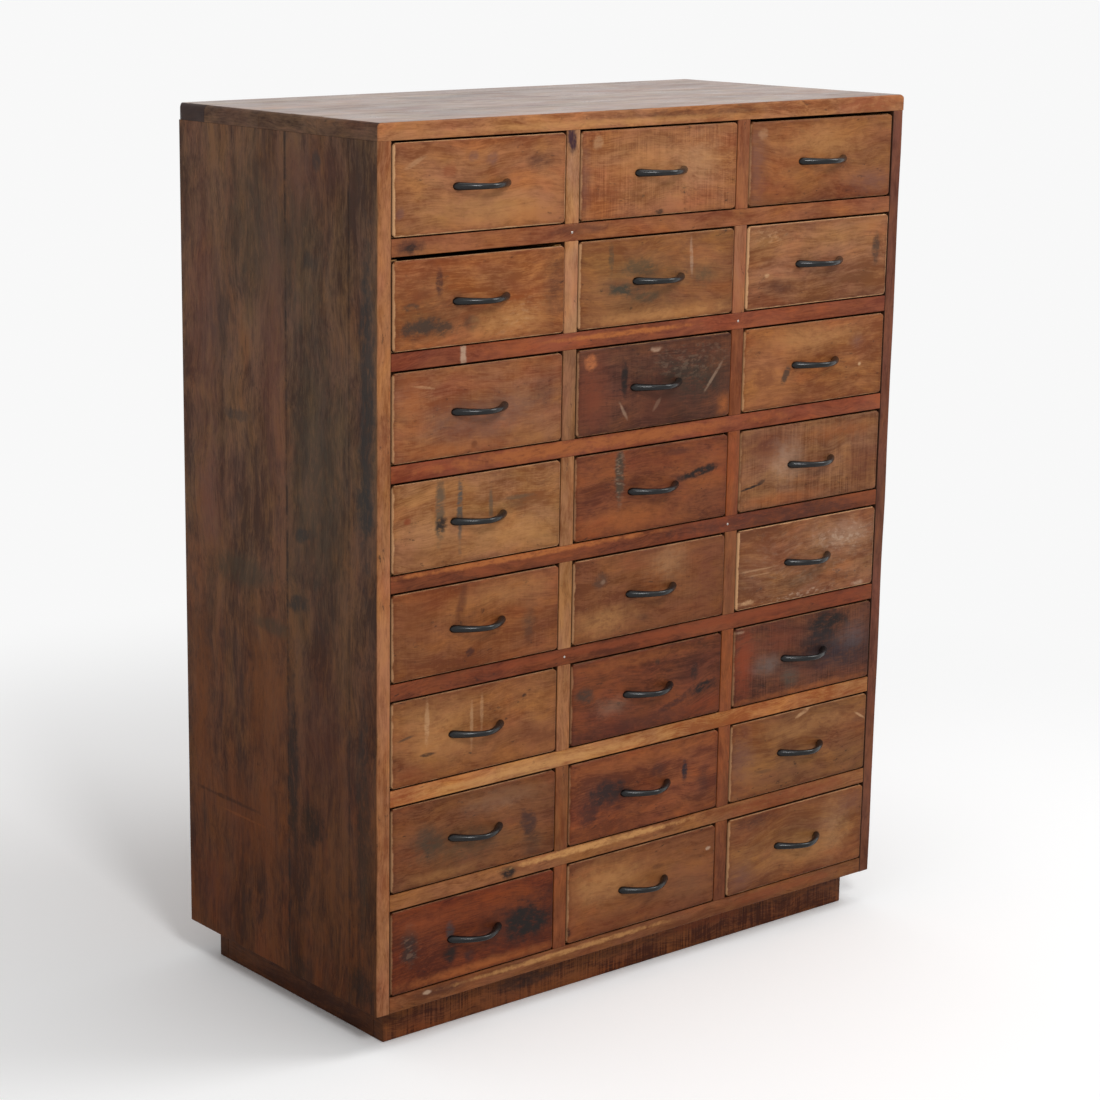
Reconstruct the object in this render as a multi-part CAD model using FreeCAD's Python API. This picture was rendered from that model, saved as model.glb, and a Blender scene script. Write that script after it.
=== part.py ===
import FreeCAD, Part
import math
import os

# A chest of small drawers in reclaimed hardwood, on a plinth set back all round.
# X runs along the front, +Y goes to the back and +Z is up, in millimetres.
# The origin is on the floor, under the middle of the whole piece with its handles.

# Overall sizes of the carcass, without handles
overall_width = 1000.0
overall_height = 1300.0
carcass_depth = 475.0

# Grid of drawers
rows = 8
columns = 3

# Plinth: a ring of four boards on the floor
plinth_height = 56.0
plinth_side_inset = 33.0
plinth_end_inset = 30.0
plinth_board = 22.0

# Carcass boards
side_thickness = 22.0
top_thickness = 24.0
bottom_thickness = 24.0
top_end_radius = 8.0
top_corner_radius = 5.0
edge_ease = 0.8

# Widths of the jointed boards: the side seams as seen from the front edge, and the rear board of the top
side_front_board = 65.0
side_middle_board = 147.0
top_rear_board = 66.0
top_front_boards = 3
bottom_boards = 3

# Back sheet, let into a rebate in the sides and the top
back_thickness = 9.0
back_rebate = 10.0

# Frame between the drawers
rail_height = 24.0
rail_depth = 60.0
post_width = 24.0
back_rail_depth = 40.0
runner_width = 30.0
guide_height = 30.0
stop_height = 14.0
stop_depth = 12.0

# Drawers
front_thickness = 20.0
side_gap = 2.0
top_gap = 3.0
bottom_gap = 2.0
slide_gap = 0.3
side_top_gap = 4.0
stop_gap = 6.0
lap_thickness = 9.0
front_ease = 2.0
front_corner_radius = 6.0
front_corner_steps = 3
drawer_board = 12.0
drawer_bottom = 5.0
groove_depth = 6.0
groove_lift = 8.0
groove_slack = 1.0

# How far each drawer front stands out of the carcass, and the fronts planed lower than the rest
usual_stand_out = 1.5
stand_out = {(1, 3): 0.6, (2, 1): 2.6, (3, 2): 2.4, (4, 3): 0.8, (5, 2): 2.2, (6, 1): 0.8, (8, 3): 2.4}
lowered_tops = {(1, 3): 1.6, (2, 1): 2.4}

# Bow handle: an iron rod, thin in the middle and swelling to its feet
handle_span = 89.0
handle_rise = 26.0
handle_power = 1.7
handle_middle_radius = 4.0
handle_foot_radius = 6.0
handle_swell_power = 1.5
handle_sides = 12
handle_stations = 10

# Sizes that follow
opening_width = (overall_width - 2 * side_thickness - (columns - 1) * post_width) / columns
inner_height = overall_height - plinth_height - top_thickness - bottom_thickness
opening_height = (inner_height - (rows - 1) * rail_height) / rows
furthest_stand_out = max([usual_stand_out] + list(stand_out.values()))
handle_reach = furthest_stand_out + handle_rise + handle_middle_radius
half_width = overall_width / 2
inner_half = half_width - side_thickness
front_y = (handle_reach - carcass_depth) / 2
back_y = front_y + carcass_depth
inner_back_y = back_y - back_thickness
carcass_bottom = plinth_height
bottom_top = carcass_bottom + bottom_thickness
top_underside = overall_height - top_thickness
runner_start = front_y + rail_depth
runner_end = inner_back_y - back_rail_depth
stop_front_y = inner_back_y - stop_depth
drawer_length = stop_front_y - stop_gap - front_y


def box(x_span, y_span, z_span):
    """A plain board between two planes on each axis."""
    size = [high - low for low, high in (x_span, y_span, z_span)]
    return Part.makeBox(*size, FreeCAD.Vector(x_span[0], y_span[0], z_span[0]))


def prism(points, direction):
    """A straight solid with the given closed outline as its end."""
    return Part.Face(Part.makePolygon(points + points[:1])).extrude(direction)


def eased(board, axis, size):
    """The board with a small flat along each edge that runs with the axis."""
    edges = [edge for edge in board.Edges if abs(edge.tangentAt(edge.FirstParameter).dot(axis)) > 0.999]
    return board.makeChamfer(size, edges)


def spans(start, widths):
    """The pairs of planes between boards of the given widths, laid side by side."""
    pairs = []
    for width in widths:
        pairs.append((start, start + width))
        start += width
    return pairs


def opening(row, column):
    """The opening for one drawer, in X and in Z. Row 1 is at the top, column 1 at the left."""
    left = -inner_half + (column - 1) * (opening_width + post_width)
    top = top_underside - (row - 1) * (opening_height + rail_height)
    return (left, left + opening_width), (top - opening_height, top)


def post_span(column):
    """The width of the post to the right of a column."""
    right = opening(1, column)[0][1]
    return right, right + post_width


def rail_span(row):
    """The height of the rail under a row."""
    floor = opening(row, 1)[1][0]
    return floor - rail_height, floor


def side_panel(sign):
    """One side: three upright boards glued edge to edge, with the rebate for the back."""
    widths = [side_front_board, side_middle_board]
    widths.append(carcass_depth - sum(widths))
    outer, inner = sign * half_width, sign * inner_half
    x_span = (min(outer, inner), max(outer, inner))
    rebate_x = sorted((inner, inner + sign * back_rebate))
    rebate = box(rebate_x, (inner_back_y, back_y), (carcass_bottom, top_underside))
    boards = []
    for y_span in spans(front_y, widths):
        board = box(x_span, y_span, (carcass_bottom, top_underside))
        boards.append(eased(board, FreeCAD.Vector(0, 0, 1), edge_ease).cut(rebate))
    return boards


def top_profile():
    """The end view of the top from the front: a board with its two upper corners rounded."""
    radius = top_end_radius
    lean = radius * (1 - math.sqrt(0.5))
    left, right = -half_width, half_width
    low, high = top_underside, overall_height

    def at(x, z):
        return FreeCAD.Vector(x, front_y, z)

    return Part.Wire([
        Part.makeLine(at(left, high - radius), at(left, low)),
        Part.makeLine(at(left, low), at(right, low)),
        Part.makeLine(at(right, low), at(right, high - radius)),
        Part.Arc(at(right, high - radius), at(right - lean, high - lean), at(right - radius, high)).toShape(),
        Part.makeLine(at(right - radius, high), at(left + radius, high)),
        Part.Arc(at(left + radius, high), at(left + lean, high - lean), at(left, high - radius)).toShape(),
    ])


def top_outline():
    """The plan of the top, with worn corners at the back."""
    plan = box((-half_width, half_width), (front_y, back_y), (top_underside, overall_height))
    corners = []
    for edge in plan.Edges:
        upright = abs(edge.tangentAt(edge.FirstParameter).z) > 0.999
        if upright and abs(edge.CenterOfMass.y - back_y) < edge_ease:
            corners.append(edge)
    return plan.makeFillet(top_corner_radius, corners)


def top_panel():
    """The top: boards that run left to right, over the sides."""
    width = (carcass_depth - top_rear_board) / top_front_boards
    whole = Part.Face(top_profile()).extrude(FreeCAD.Vector(0, carcass_depth, 0)).common(top_outline())
    rebate_half = inner_half + back_rebate
    rebate_z = (top_underside, top_underside + back_rebate)
    whole = whole.cut(box((-rebate_half, rebate_half), (inner_back_y, back_y), rebate_z))
    boards = []
    for y_span in spans(front_y, [width] * top_front_boards + [top_rear_board]):
        slot = box((-half_width, half_width), y_span, (top_underside, overall_height))
        boards.append(whole.common(eased(slot, FreeCAD.Vector(1, 0, 0), edge_ease)))
    return boards


def bottom_panel():
    """The bottom: boards between the sides, whose front edge shows as the lowest rail."""
    width = (inner_back_y - front_y) / bottom_boards
    boards = []
    for y_span in spans(front_y, [width] * bottom_boards):
        board = box((-inner_half, inner_half), y_span, (carcass_bottom, bottom_top))
        boards.append(eased(board, FreeCAD.Vector(1, 0, 0), edge_ease))
    return boards


def back_panel():
    """The back: one sheet in the rebates, over the rear edge of the bottom."""
    half = inner_half + back_rebate
    return [box((-half, half), (inner_back_y, back_y), (carcass_bottom, top_underside + back_rebate))]


def plinth():
    """The plinth: long boards at front and back, short ones between them."""
    half = half_width - plinth_side_inset
    near, far = front_y + plinth_end_inset, back_y - plinth_end_inset
    height = (0, plinth_height)
    boards = [
        box((-half, half), (near, near + plinth_board), height),
        box((-half, half), (far - plinth_board, far), height),
    ]
    for x_span in ((-half, plinth_board - half), (half - plinth_board, half)):
        boards.append(box(x_span, (near + plinth_board, far - plinth_board), height))
    return boards


def front_rails():
    """The rails that show between the rows, each in one length from side to side."""
    y_span = (front_y, runner_start)
    return [box((-inner_half, inner_half), y_span, rail_span(row)) for row in range(1, rows)]


def back_rails():
    """The rails at the back of the frame, which the back sheet is fixed to."""
    y_span = (runner_end, inner_back_y)
    return [box((-inner_half, inner_half), y_span, rail_span(row)) for row in range(1, rows)]


def divider_posts():
    """The short posts between neighbouring drawers, one for each row and gap."""
    posts = []
    for row in range(1, rows + 1):
        for column in range(1, columns):
            posts.append(box(post_span(column), (front_y, runner_start), opening(row, column)[1]))
    return posts


def drawer_runners():
    """The boards that the drawers slide on, flush with the rails they run between."""
    feet = [(-inner_half, runner_width - inner_half), (inner_half - runner_width, inner_half)]
    for column in range(1, columns):
        left, right = post_span(column)
        feet.append((left - runner_width, right + runner_width))
    y_span = (runner_start, runner_end)
    return [box(x_span, y_span, rail_span(row)) for row in range(1, rows) for x_span in feet]


def drawer_guides():
    """The strips behind the posts that keep each drawer straight."""
    strips = []
    for row in range(1, rows + 1):
        floor = opening(row, 1)[1][0]
        for column in range(1, columns):
            strips.append(box(post_span(column), (runner_start, stop_front_y), (floor, floor + guide_height)))
    return strips


def drawer_stops():
    """The strips along the back that a closed drawer meets."""
    strips = []
    for row in range(1, rows + 1):
        floor = opening(row, 1)[1][0]
        strips.append(box((-inner_half, inner_half), (stop_front_y, inner_back_y), (floor, floor + stop_height)))
    return strips


def rounded_outline(x_span, z_span, y, radius, steps):
    """The corner points of an upright rectangle whose corners are cut round in a few straight steps."""
    turns = [(1, 1, 0), (-1, 1, 90), (-1, -1, 180), (1, -1, 270)]
    points = []
    for side, height, start in turns:
        x = x_span[(side + 1) // 2] - side * radius
        z = z_span[(height + 1) // 2] - height * radius
        for step in range(steps + 1):
            turn = math.radians(start + 90 * step / steps)
            points.append(FreeCAD.Vector(x + radius * math.cos(turn), y, z + radius * math.sin(turn)))
    return points


def front_board(x_span, face_y, z_span, groove_z):
    """A drawer front: lapped over the sides, grooved for the bottom, its corners round and its face eased."""
    lap_y = face_y + lap_thickness
    rear_y = face_y + front_thickness
    outline = rounded_outline(x_span, z_span, face_y, front_corner_radius, front_corner_steps)
    board = prism(outline, FreeCAD.Vector(0, lap_thickness, 0))
    face_edges = [edge for edge in board.Edges if all(abs(v.Point.y - face_y) < slide_gap for v in edge.Vertexes)]
    board = board.makeChamfer(front_ease, face_edges)
    inside = (x_span[0] + drawer_board, x_span[1] - drawer_board)
    board = board.fuse(box(inside, (lap_y, rear_y), z_span)).removeSplitter()
    return board.cut(box(x_span, (rear_y - groove_depth, rear_y), groove_z))


def side_board(outer, inward, y_span, z_span, groove_z):
    """A drawer side: a board with the groove for the bottom along its inner face."""
    inner = outer + inward * drawer_board
    depth = inner - inward * groove_depth
    corners = [
        (outer, z_span[0]), (inner, z_span[0]), (inner, groove_z[0]), (depth, groove_z[0]),
        (depth, groove_z[1]), (inner, groove_z[1]), (inner, z_span[1]), (outer, z_span[1]),
    ]
    outline = [FreeCAD.Vector(x, y_span[0], z) for x, z in corners]
    return prism(outline, FreeCAD.Vector(0, y_span[1] - y_span[0], 0))


def drawer(row, column):
    """One drawer: front, two sides, back and bottom."""
    (left, right), (floor, ceiling) = opening(row, column)
    x_span = (left + side_gap, right - side_gap)
    face_y = front_y - stand_out.get((row, column), usual_stand_out)
    lap_y, rear_y = face_y + lap_thickness, face_y + front_thickness
    end_y = face_y + drawer_length
    low, high = floor + slide_gap, ceiling - side_top_gap
    groove_z = (low + groove_lift, low + groove_lift + drawer_bottom)
    front_z = (floor + bottom_gap, ceiling - top_gap - lowered_tops.get((row, column), 0))
    inside = (x_span[0] + drawer_board, x_span[1] - drawer_board)
    let_in = groove_depth - groove_slack
    return [
        front_board(x_span, face_y, front_z, groove_z),
        side_board(x_span[0], 1, (lap_y, end_y), (low, high), groove_z),
        side_board(x_span[1], -1, (lap_y, end_y), (low, high), groove_z),
        box(inside, (end_y - drawer_board, end_y), (groove_z[1], high)),
        box((inside[0] - let_in, inside[1] + let_in), (rear_y - let_in, end_y), groove_z),
    ]


def handle_ring(x, face_y, z, along):
    """One ring of points round the rod, where along runs from -1 at the left foot to 1 at the right."""
    half_span = handle_span / 2
    slope = handle_rise * handle_power * abs(along) ** (handle_power - 1) * math.copysign(1, along) / half_span
    length = math.hypot(1, slope)
    tangent = FreeCAD.Vector(1 / length, slope / length, 0)
    normal = FreeCAD.Vector(-slope / length, 1 / length, 0)
    up = FreeCAD.Vector(0, 0, 1)
    middle = FreeCAD.Vector(x + half_span * along, face_y - handle_rise * (1 - abs(along) ** handle_power), z)
    radius = handle_middle_radius
    radius += (handle_foot_radius - handle_middle_radius) * abs(along) ** handle_swell_power
    points = []
    for side in range(handle_sides):
        turn = 2 * math.pi * (side + 0.5) / handle_sides
        point = middle + normal * (radius * math.cos(turn)) + up * (radius * math.sin(turn))
        if abs(along) == 1:
            point += tangent * ((face_y - point.y) / tangent.y)
        points.append(point)
    return points


def handle(row, column):
    """A bow handle, centred on its drawer front, with both feet cut flat on the wood."""
    (left, right), (floor, ceiling) = opening(row, column)
    front_top = ceiling - top_gap - lowered_tops.get((row, column), 0)
    z = (floor + bottom_gap + front_top) / 2
    face_y = front_y - stand_out.get((row, column), usual_stand_out)
    stations = [2 * station / handle_stations - 1 for station in range(handle_stations + 1)]
    rings = [handle_ring((left + right) / 2, face_y, z, along) for along in stations]
    outlines = [rings[0], rings[-1]]
    for near, far in zip(rings, rings[1:]):
        for side in range(handle_sides):
            after = (side + 1) % handle_sides
            outlines.append([near[side], near[after], far[side]])
            outlines.append([near[after], far[after], far[side]])
    faces = [Part.Face(Part.makePolygon(outline + outline[:1])) for outline in outlines]
    rod = Part.Solid(Part.Shell(faces))
    if rod.Volume < 0:
        rod.reverse()
    return [rod]


nodes = {
    "left_side_panel": side_panel(-1),
    "right_side_panel": side_panel(1),
    "top_panel": top_panel(),
    "bottom_panel": bottom_panel(),
    "back_panel": back_panel(),
    "plinth": plinth(),
    "front_rails": front_rails(),
    "back_rails": back_rails(),
    "divider_posts": divider_posts(),
    "drawer_runners": drawer_runners(),
    "drawer_guides": drawer_guides(),
    "drawer_stops": drawer_stops(),
}
for row in range(1, rows + 1):
    for column in range(1, columns + 1):
        nodes[f"drawer_r{row}_c{column}"] = drawer(row, column)
        nodes[f"handle_r{row}_c{column}"] = handle(row, column)

os.makedirs("parts", exist_ok=True)
for name, solids in nodes.items():
    Part.makeCompound(solids).exportStep(f"parts/{name}.step")
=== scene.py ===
import math

import bmesh
import bpy
from mathutils import Matrix, Vector, noise


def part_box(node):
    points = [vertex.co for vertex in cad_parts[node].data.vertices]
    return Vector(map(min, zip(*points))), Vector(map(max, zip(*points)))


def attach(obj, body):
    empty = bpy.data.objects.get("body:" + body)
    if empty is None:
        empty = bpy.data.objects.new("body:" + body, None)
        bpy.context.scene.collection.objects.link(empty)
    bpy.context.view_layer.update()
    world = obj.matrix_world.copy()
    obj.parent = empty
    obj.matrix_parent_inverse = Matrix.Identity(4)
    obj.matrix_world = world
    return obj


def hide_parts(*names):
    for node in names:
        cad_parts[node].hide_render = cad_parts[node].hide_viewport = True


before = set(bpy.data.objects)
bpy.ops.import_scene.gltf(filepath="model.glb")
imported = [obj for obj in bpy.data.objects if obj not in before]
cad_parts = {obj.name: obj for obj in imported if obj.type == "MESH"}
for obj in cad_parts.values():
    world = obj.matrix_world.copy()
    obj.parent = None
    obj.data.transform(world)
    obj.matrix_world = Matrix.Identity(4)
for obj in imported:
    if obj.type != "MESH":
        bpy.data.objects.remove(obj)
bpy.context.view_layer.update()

MM = 0.001

# Measures of the cabinet, read from the frame
ROWS, COLUMNS = 8, 3
SIDE_LOW, SIDE_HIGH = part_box("left_side_panel")
TOP_LOW, TOP_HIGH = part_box("top_panel")
PLINTH_LOW, PLINTH_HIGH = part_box("plinth")
RAILS_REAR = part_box("front_rails")[1].y
BOTTOM_LOW, BOTTOM_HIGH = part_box("bottom_panel")
POSTS_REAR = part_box("divider_posts")[1].y
FACE = SIDE_LOW.y
REAR = SIDE_HIGH.y
HALF = -SIDE_LOW.x
INNER = -SIDE_HIGH.x
RAIL = TOP_HIGH.z - TOP_LOW.z
POST = RAIL
OPENING_HIGH = (TOP_LOW.z - BOTTOM_HIGH.z - (ROWS - 1) * RAIL) / ROWS
OPENING_WIDE = (2 * INNER - (COLUMNS - 1) * POST) / COLUMNS
PITCH = OPENING_HIGH + RAIL

# Boards of the drawers, as their joiner cuts them
FRONT_THICK = 20 * MM
LAP = 9 * MM
BOX_BOARD = 12 * MM
BOX_BOTTOM = 5 * MM
GROOVE_LIFT = 8 * MM
GROOVE = 5 * MM
FRONT_GAP = 2 * MM

# How round the edges are worn
FRONT_EDGE = 3.4 * MM
FRONT_CORNER = 6 * MM
BOX_EDGE = 1 * MM
RAIL_EDGE = 1.4 * MM
POST_EDGE = 1.2 * MM
PLINTH_EDGE = 1.2 * MM
SEAM_EDGE = 0.7 * MM

# How far apart the lines of a board's mesh are
FRONT_STEP = 20 * MM
WORN_STEP = 30 * MM
RAIL_STEP = 80 * MM
BOTTOM_STEP = 90 * MM

# Boards of the carcass and the seams between them
SIDE_SEAMS = (65 * MM, 212 * MM)
TOP_REAR_BOARD = 66 * MM
TOP_FRONT_BOARDS = 3
BOTTOM_BOARDS = 3
BACK_THICK = 9 * MM
BACK_REBATE = 10 * MM
PLINTH_BOARD = 22 * MM

# Bow handle: its span between the middles of its feet, and how far the rod's round ends reach, in half spans
HANDLE_SPAN = 89 * MM
HANDLE_RISE = 25.8 * MM
HANDLE_POWER = 1.7
ROD = 4.0 * MM
FOOT = 6.0 * MM
ROD_SWELL = 1.5
ROD_REACH = 1.07

# Heads of the handle's screws and of the nails in the frame, and which rail and post each nail holds
SCREW_HEAD, SCREW_DEPTH = 4 * MM, 2 * MM
NAIL_HEAD, NAIL_DEPTH = 1.8 * MM, 0.5 * MM
NAILS = ((1, 1, 0.0), (2, 2, 0.0), (4, 2, -8 * MM), (5, 1, 0.0))

# How the grain flows: how fast the push changes along a board, and how far it reaches
FLOW_SCALE = 7.5
FLOW_REACH = 0.04

# Camera, found from the corners of the cabinet in the photograph
CAMERA_PLACE = Vector((-2.6001, -3.0054, 1.5624))
CAMERA_TURN = math.radians(37.52)
CAMERA_TILT = math.radians(13.40)
CAMERA_ROLL = math.radians(0.19)
CAMERA_LENS = 87.25
CAMERA_SHIFT = 0.1364

# Light: what the room throws and what it shows, and each lamp's place, width in metres and power in watts
ROOM_THROWN = 0.52
ROOM_SHOWN = 0.94
LAMP_AIM = Vector((0.0, 0.0, 0.7))
LAMPS = {
    "key_lamp": ((2.6, -1.6, 3.8), 2.0, 58),
    "front_lamp": ((-1.6, -3.9, 3.5), 1.0, 74),
    "top_lamp": ((0.3, -0.6, 4.0), 2.0, 15),
}
FLOOR_REACH = 30.0


def linear(colour):
    """A colour written as 0 to 255 steps, turned into the light values that the shaders take."""
    def channel(step):
        part = step / 255
        return part / 12.92 if part <= 0.04045 else ((part + 0.055) / 1.055) ** 2.4
    return (*[channel(step) for step in colour], 1.0)


class Wire:
    """One value inside a node tree, which can be written into sums and products."""

    def __init__(self, tree, socket):
        self.tree, self.socket = tree, socket

    def __add__(self, other):
        return self.tree.maths("ADD", self, other)

    def __sub__(self, other):
        return self.tree.maths("SUBTRACT", self, other)

    def __rsub__(self, other):
        return self.tree.maths("SUBTRACT", other, self)

    def __mul__(self, other):
        return self.tree.maths("MULTIPLY", self, other)

    def __truediv__(self, other):
        return self.tree.maths("DIVIDE", self, other)

    def __pow__(self, other):
        return self.tree.maths("POWER", self, other)

    def __abs__(self):
        return self.tree.maths("ABSOLUTE", self)

    __radd__ = __add__
    __rmul__ = __mul__


class Tree:
    """A tree whose nodes are made one by one through a single method."""

    def __init__(self, made):
        self.nodes, self.links = made.nodes, made.links
        self.nodes.clear()

    def node(self, kind, settings=None, inputs=None, output=0):
        """One node: its settings first, then its sockets. Gives back the output asked for."""
        made = self.nodes.new(kind)
        for name, value in (settings or {}).items():
            setattr(made, name, value)
        for name, value in (inputs or {}).items():
            if isinstance(value, Wire):
                self.links.new(value.socket, made.inputs[name])
            else:
                made.inputs[name].default_value = value
        return Wire(self, made.outputs[output]) if made.outputs else made

    def maths(self, operation, *values):
        return self.node("ShaderNodeMath", {"operation": operation}, dict(enumerate(values)))

    def vector(self, operation, *values):
        return self.node("ShaderNodeVectorMath", {"operation": operation}, dict(enumerate(values)))

    def split(self, point):
        parts = self.node("ShaderNodeSeparateXYZ", None, {0: point}).socket.node
        return [Wire(self, socket) for socket in parts.outputs]

    def joined(self, x=0.0, y=0.0, z=0.0):
        return self.node("ShaderNodeCombineXYZ", None, {0: x, 1: y, 2: z})


class Shader(Tree):
    """A material made of nodes."""

    def __init__(self, name):
        self.material = bpy.data.materials.new(name)
        self.material.use_nodes = True
        super().__init__(self.material.node_tree)

    def place(self, origin=(0, 0, 0)):
        """The point on the piece, counted from an origin."""
        return self.vector("SUBTRACT", self.node("ShaderNodeTexCoord", output="Object"), tuple(origin))

    def flat(self, point):
        """The point turned so that a board's top face reads like an upright one: up becomes the depth."""
        x, y, z = self.split(point)
        return self.joined(x, z, y)

    def stretched(self, point, scales, shift=0.0):
        """The point scaled along each axis, moved so that no two boards share a pattern."""
        moved = self.vector("ADD", point, (shift, shift * 1.7, shift * 0.6))
        return self.vector("MULTIPLY", moved, tuple(scales))

    def noise(self, point, detail=2.0, roughness=0.5):
        return self.node("ShaderNodeTexNoise", None, {
            "Vector": point, "Scale": 1.0, "Detail": detail, "Roughness": roughness})

    def even_noise(self, point, scale, shift=0.0, detail=2.0, roughness=0.5):
        """Noise of the same scale along all three axes."""
        return self.noise(self.stretched(point, (scale,) * 3, shift), detail, roughness)

    def flowing(self, point, seed):
        """The point pushed about slowly, so that grain flows in waves instead of running straight."""
        push = self.node("ShaderNodeTexNoise", None, {
            "Vector": self.stretched(point, (FLOW_SCALE,) * 3, seed), "Scale": 1.0, "Detail": 1.5}, output="Color")
        aside = self.vector("SUBTRACT", push, (0.5, 0.5, 0.5))
        return self.vector("ADD", point, self.vector("MULTIPLY", aside, (FLOW_REACH,) * 3))

    def ease(self, value, low, high, start=0.0, end=1.0):
        """A smooth step from start to end as the value goes from low to high."""
        return self.node("ShaderNodeMapRange", {"interpolation_type": "SMOOTHSTEP"}, {
            0: value, 1: low, 2: high, 3: start, 4: end})

    def mix(self, factor, first, second, blend="MIX"):
        return self.node("ShaderNodeMix", {"data_type": "RGBA", "blend_type": blend, "clamp_factor": True},
                         {0: factor, 6: first, 7: second}, output=2)

    def paint(self, factor, colour, steps):
        """The colour covered with another, written as 0 to 255 steps."""
        return self.mix(factor, colour, linear(steps))

    def tint(self, factor, colour, times):
        """The colour multiplied by three factors."""
        return self.mix(factor, colour, (*times, 1.0), "MULTIPLY")

    def finish(self, colour, roughness, height=None, relief=0.4, metallic=0.0, specular=0.12):
        """The last nodes: the surface, with its relief."""
        inputs = {"Base Color": colour, "Roughness": roughness, "Metallic": metallic, "Specular IOR Level": specular}
        if height is not None:
            inputs["Normal"] = self.node("ShaderNodeBump", None, {
                "Strength": relief, "Distance": 1 * MM, "Height": height})
        surface = self.node("ShaderNodeBsdfPrincipled", None, inputs)
        self.node("ShaderNodeOutputMaterial", None, {"Surface": surface})
        return self.material


# Wood tones of the reclaimed boards, each a darker and a lighter colour
TONES = {
    "straw": ((130, 89, 58), (174, 126, 88)),
    "warm tan": ((122, 76, 46), (168, 112, 72)),
    "orange tan": ((112, 66, 36), (152, 98, 58)),
    "olive tan": ((106, 66, 40), (140, 92, 54)),
    "grey tan": ((104, 66, 42), (144, 98, 66)),
    "reddish tan": ((118, 70, 44), (154, 102, 68)),
    "yellow tan": ((120, 78, 46), (164, 114, 74)),
    "mid brown": ((102, 60, 34), (136, 84, 50)),
    "red brown": ((90, 48, 30), (134, 75, 43)),
    "stile red": ((82, 46, 34), (118, 70, 50)),
    "dark red": ((74, 39, 25), (120, 63, 38)),
    "dark plum": ((64, 38, 29), (106, 64, 44)),
    "olive brown": ((88, 52, 30), (122, 76, 46)),
    "deep orange": ((74, 34, 20), (120, 58, 28)),
    "golden": ((136, 82, 44), (180, 126, 76)),
    "mahogany": ((104, 52, 34), (140, 74, 46)),
    "post red": ((112, 62, 36), (150, 92, 56)),
    "brown red": ((103, 55, 31), (139, 77, 44)),
    "rust red": ((86, 43, 25), (128, 66, 38)),
    "plinth": ((66, 32, 17), (122, 69, 37)),
    "side": ((59, 39, 27), (107, 76, 54)),
    "worn top": ((102, 76, 63), (148, 117, 99)),
    "plain wood": ((150, 108, 68), (184, 142, 98)),
}

# Colours of stains, knots and wear, of pale edges that are partly painted highlight, and of the painted shade and
# dirt in the gaps round the drawers
BLACK = (38, 29, 26)
SMOKE = (62, 50, 42)
PLUM = (66, 38, 32)
RUST = (128, 62, 34)
PALE = (196, 156, 116)
CHALK = (176, 146, 122)
MAUVE = (112, 76, 66)
MOSS = (72, 62, 46)
ORANGE = (164, 96, 50)
HONEY = (190, 138, 84)
# Pale colour of the drawer fronts' edges, partly wear and partly painted highlight
RUBBED_AND_HIGHLIGHT = (196, 150, 108)
# Painted shade and dirt: the dark colour given to faces that lie back in the gaps round the drawers
GAP_SHADE_AND_DIRT = (70, 42, 28)

# Patterns in the wood: how fine along the grain and across it, the shift, detail and roughness of the noise
PATTERNS = {
    "lines": (4.0, 105.0, 1.3, 5.0, 0.68),
    "fibre": (26.0, 560.0, 2.1, 2.0, 0.6),
    "broad": (4.2, 15.0, 3.7, 3.0, 0.6),
    "mottle": (30.0, 70.0, 5.1, 6.0, 0.74),
    "cloud": (9.0, 24.0, 6.3, 5.0, 0.7),
    "drift": (6.0, 19.0, 7.7, 3.0, 0.6),
    "bloom": (11.0, 26.0, 11.9, 3.0, 0.6),
    "speck": (75.0, 190.0, 8.5, 3.0, 0.65),
    "broken": (60.0, 170.0, 10.3, 4.0, 0.7),
    "kerf": (330.0, 14.0, 4.9, 2.0, 0.6),
}


def stain(x, z, wide, high, colour, strength, turn=0, edge=(1.35, 0.5), ragged=2.0, broken=0.6, flecked=False):
    """One stain, knot or scratch on a board: its middle and half its size in millimetres, and its colour."""
    return dict(x=x, z=z, wide=wide, high=high, colour=colour, strength=strength, turn=turn, edge=edge,
                ragged=ragged, broken=broken, flecked=flecked)


def haze(x, z, wide, high, colour, strength, turn=0):
    """A stain that fades away at its edges."""
    return stain(x, z, wide, high, colour, strength, turn, edge=(1.7, 0.0), ragged=1.9, broken=0.5)


def flecks(x, z, wide, high, colour, strength, turn=0):
    """A patch of fine chips or scratches."""
    return stain(x, z, wide, high, colour, strength, turn, edge=(1.6, 0.3), flecked=True)


def mark_mask(shader, spot, ragged, broken, speck, mark):
    """Where one mark lies: a ragged, broken ellipse."""
    near = shader.node("ShaderNodeMapping", {"vector_type": "TEXTURE"}, {
        "Vector": spot, "Location": (mark["x"] * MM, mark["z"] * MM, 0.0),
        "Rotation": (0.0, 0.0, math.radians(mark["turn"])), "Scale": (mark["wide"] * MM, mark["high"] * MM, 1.0)})
    far = shader.node("ShaderNodeVectorMath", {"operation": "LENGTH"}, {0: near}, output=1)
    outer, inner = mark["edge"]
    body = shader.ease(far + (ragged - 0.5) * mark["ragged"], outer, inner, 0.0, min(1.0, mark["strength"] * 1.3))
    if mark["flecked"]:
        return body * shader.ease(speck, 0.5, 0.62)
    return body * shader.ease(broken, 0.34, 0.54, 1 - mark["broken"], 1.0)


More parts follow.
